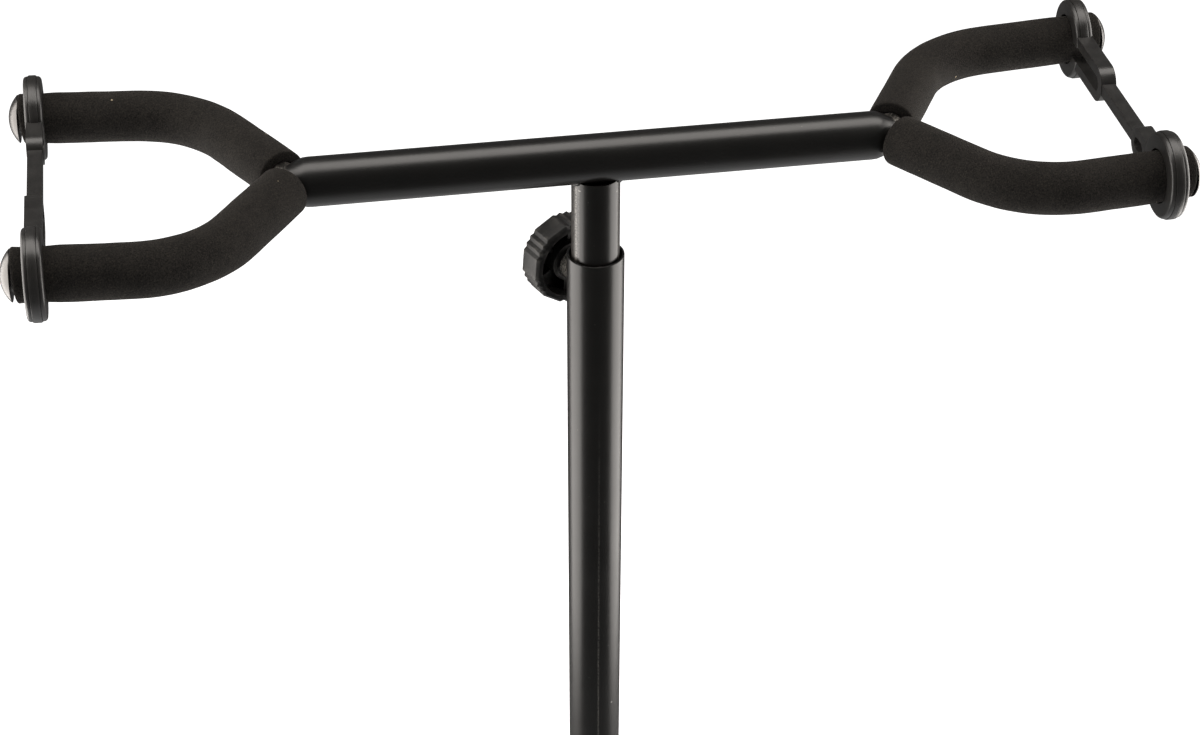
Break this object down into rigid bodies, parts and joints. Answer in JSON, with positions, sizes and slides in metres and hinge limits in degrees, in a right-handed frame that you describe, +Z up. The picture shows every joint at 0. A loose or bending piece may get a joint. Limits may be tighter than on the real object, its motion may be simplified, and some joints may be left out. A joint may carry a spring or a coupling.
{
  "type": "guitar stand",
  "caption": "Free-standing guitar rack: telescopic pole on a folding tripod, with a crossbar that carries a foam-padded neck yoke and a rubber neck strap at each end.",
  "frame": {"origin": "on the floor, at the middle of the stand's outline seen from above; the pole's axis is at X = 0, Y = -0.0823 m", "axes": "+Z up along the pole; +X along the crossbar to the right-hand yoke; +Y towards the rear leg"},
  "size_m": [0.5984, 0.5212, 0.875],
  "materials": {
    "black_paint": "satin black powder coat",
    "black_zinc": "black oxide rivet",
    "bush_plastic": "natural nylon",
    "cap_plastic": "silver grey moulded dome",
    "foot_rubber": "matt",
    "hub_plastic": "moulded nylon, fine texture",
    "knob_plastic": "moulded nylon",
    "rubber": "moulded, satin",
    "yoke_foam": "matt cellular foam",
    "zinc_steel": "bright zinc plate"
  },
  "bodies": {
    "stand": {"outer_tube": "black_paint", "base_hub": "hub_plastic", "clamp_nut": "black_paint"},
    "guide": {"guide_bush": "bush_plastic"},
    "head": {"stem": "black_paint", "stem_end_plug": "bush_plastic", "crossbar": "black_paint", "prong_left_front": "black_paint", "foam_sleeve_left_front": "yoke_foam", "dome_cap_left_front": "cap_plastic", "prong_left_back": "black_paint", "foam_sleeve_left_back": "yoke_foam", "dome_cap_left_back": "cap_plastic", "prong_right_front": "black_paint", "foam_sleeve_right_front": "yoke_foam", "dome_cap_right_front": "cap_plastic", "prong_right_back": "black_paint", "foam_sleeve_right_back": "yoke_foam", "dome_cap_right_back": "cap_plastic"},
    "strap_left": {"neck_strap_left": "rubber"},
    "strap_right": {"neck_strap_right": "rubber"},
    "height_screw": {"height_screw": "zinc_steel"},
    "height_knob": {"height_knob": "knob_plastic"},
    "collar": {"collar": "hub_plastic", "collar_insert": "zinc_steel", "collar_rivets": "black_zinc"},
    "collar_screw": {"collar_screw": "zinc_steel"},
    "collar_knob": {"collar_knob": "knob_plastic"},
    "brace_1": {"brace_1": "black_paint", "brace_pins_1": "black_zinc"},
    "leg_1": {"leg_1": "black_paint", "leg_foam_1": "yoke_foam", "foot_1": "foot_rubber"},
    "brace_2": {"brace_2": "black_paint", "brace_pins_2": "black_zinc"},
    "leg_2": {"leg_2": "black_paint", "leg_foam_2": "yoke_foam", "foot_2": "foot_rubber"},
    "brace_3": {"brace_3": "black_paint", "brace_pins_3": "black_zinc"},
    "leg_3": {"leg_3": "black_paint", "leg_foam_3": "yoke_foam", "foot_3": "foot_rubber"}
  },
  "joints": [
    {"name": "height_slide", "type": "slide", "parent": "stand", "child": "guide", "axis": [0, 0, 1], "range_m": [-0.028, 0.25]},
    {"name": "head_swivel", "type": "hinge", "parent": "guide", "child": "head", "pos_m": [0, -0.08233, 0.4633], "axis": [0, 0, 1], "continuous": true},
    {"name": "strap_left_pull", "type": "slide", "parent": "head", "child": "strap_left", "axis": [-0.9983, 0, 0.0576], "range_m": [0, 0.034]},
    {"name": "strap_right_pull", "type": "slide", "parent": "head", "child": "strap_right", "axis": [0.9983, 0, 0.0576], "range_m": [0, 0.034]},
    {"name": "height_screw_travel", "type": "slide", "parent": "stand", "child": "height_screw", "axis": [-0.3746, 0.9272, 0], "range_m": [0, 0.0025]},
    {"name": "height_knob_turn", "type": "hinge", "parent": "height_screw", "child": "height_knob", "pos_m": [0, -0.08233, 0.7888], "axis": [-0.3746, 0.9272, 0], "range_deg": [0, 721]},
    {"name": "collar_screw_travel", "type": "slide", "parent": "collar", "child": "collar_screw", "axis": [0, -1, 0], "range_m": [0, 0.0025]},
    {"name": "collar_knob_turn", "type": "hinge", "parent": "collar_screw", "child": "collar_knob", "pos_m": [0, -0.08233, 0.186], "axis": [0, -1, 0], "range_deg": [0, 721]},
    {"name": "brace_1_fold", "type": "hinge", "parent": "stand", "child": "brace_1", "pos_m": [0, -0.05233, 0.056], "axis": [1, 0, 0], "range_deg": [0, 56]},
    {"name": "leg_1_fold", "type": "hinge", "parent": "brace_1", "child": "leg_1", "pos_m": [0, 0.06025, 0.121], "axis": [1, 0, 0], "range_deg": [-112.4, 0]},
    {"name": "brace_2_fold", "type": "hinge", "parent": "stand", "child": "brace_2", "pos_m": [-0.02598, -0.09733, 0.056], "axis": [-0.5, 0.866, 0], "range_deg": [0, 56.2]},
    {"name": "leg_2_fold", "type": "hinge", "parent": "brace_2", "child": "leg_2", "pos_m": [-0.12348, -0.15362, 0.121], "axis": [-0.5, 0.866, 0], "range_deg": [-112.4, 0]},
    {"name": "brace_3_fold", "type": "hinge", "parent": "stand", "child": "brace_3", "pos_m": [0.02598, -0.09733, 0.056], "axis": [-0.5, -0.866, 0], "range_deg": [0, 56.2]},
    {"name": "leg_3_fold", "type": "hinge", "parent": "brace_3", "child": "leg_3", "pos_m": [0.12348, -0.15362, 0.121], "axis": [-0.5, -0.866, 0], "range_deg": [-112.4, 0]},
    {"name": "collar_slide", "type": "slide", "parent": "stand", "child": "collar", "axis": [0, 0, 1], "range_m": [0, 0.12987]}
  ],
  "couplings": [
    {"joint": "brace_2_fold", "follows": "brace_1_fold", "ratio": 1},
    {"joint": "brace_3_fold", "follows": "brace_1_fold", "ratio": 1},
    {"joint": "leg_1_fold", "follows": "brace_1_fold", "ratio": -2},
    {"joint": "leg_2_fold", "follows": "brace_1_fold", "ratio": -2},
    {"joint": "leg_3_fold", "follows": "brace_1_fold", "ratio": -2},
    {"joint": "collar_slide", "follows": "brace_1_fold", "m_per_rad": 0.13236},
    {"joint": "height_knob_turn", "follows": "height_screw_travel", "rad_per_m": 5026.5},
    {"joint": "collar_knob_turn", "follows": "collar_screw_travel", "rad_per_m": 5026.5}
  ]
}
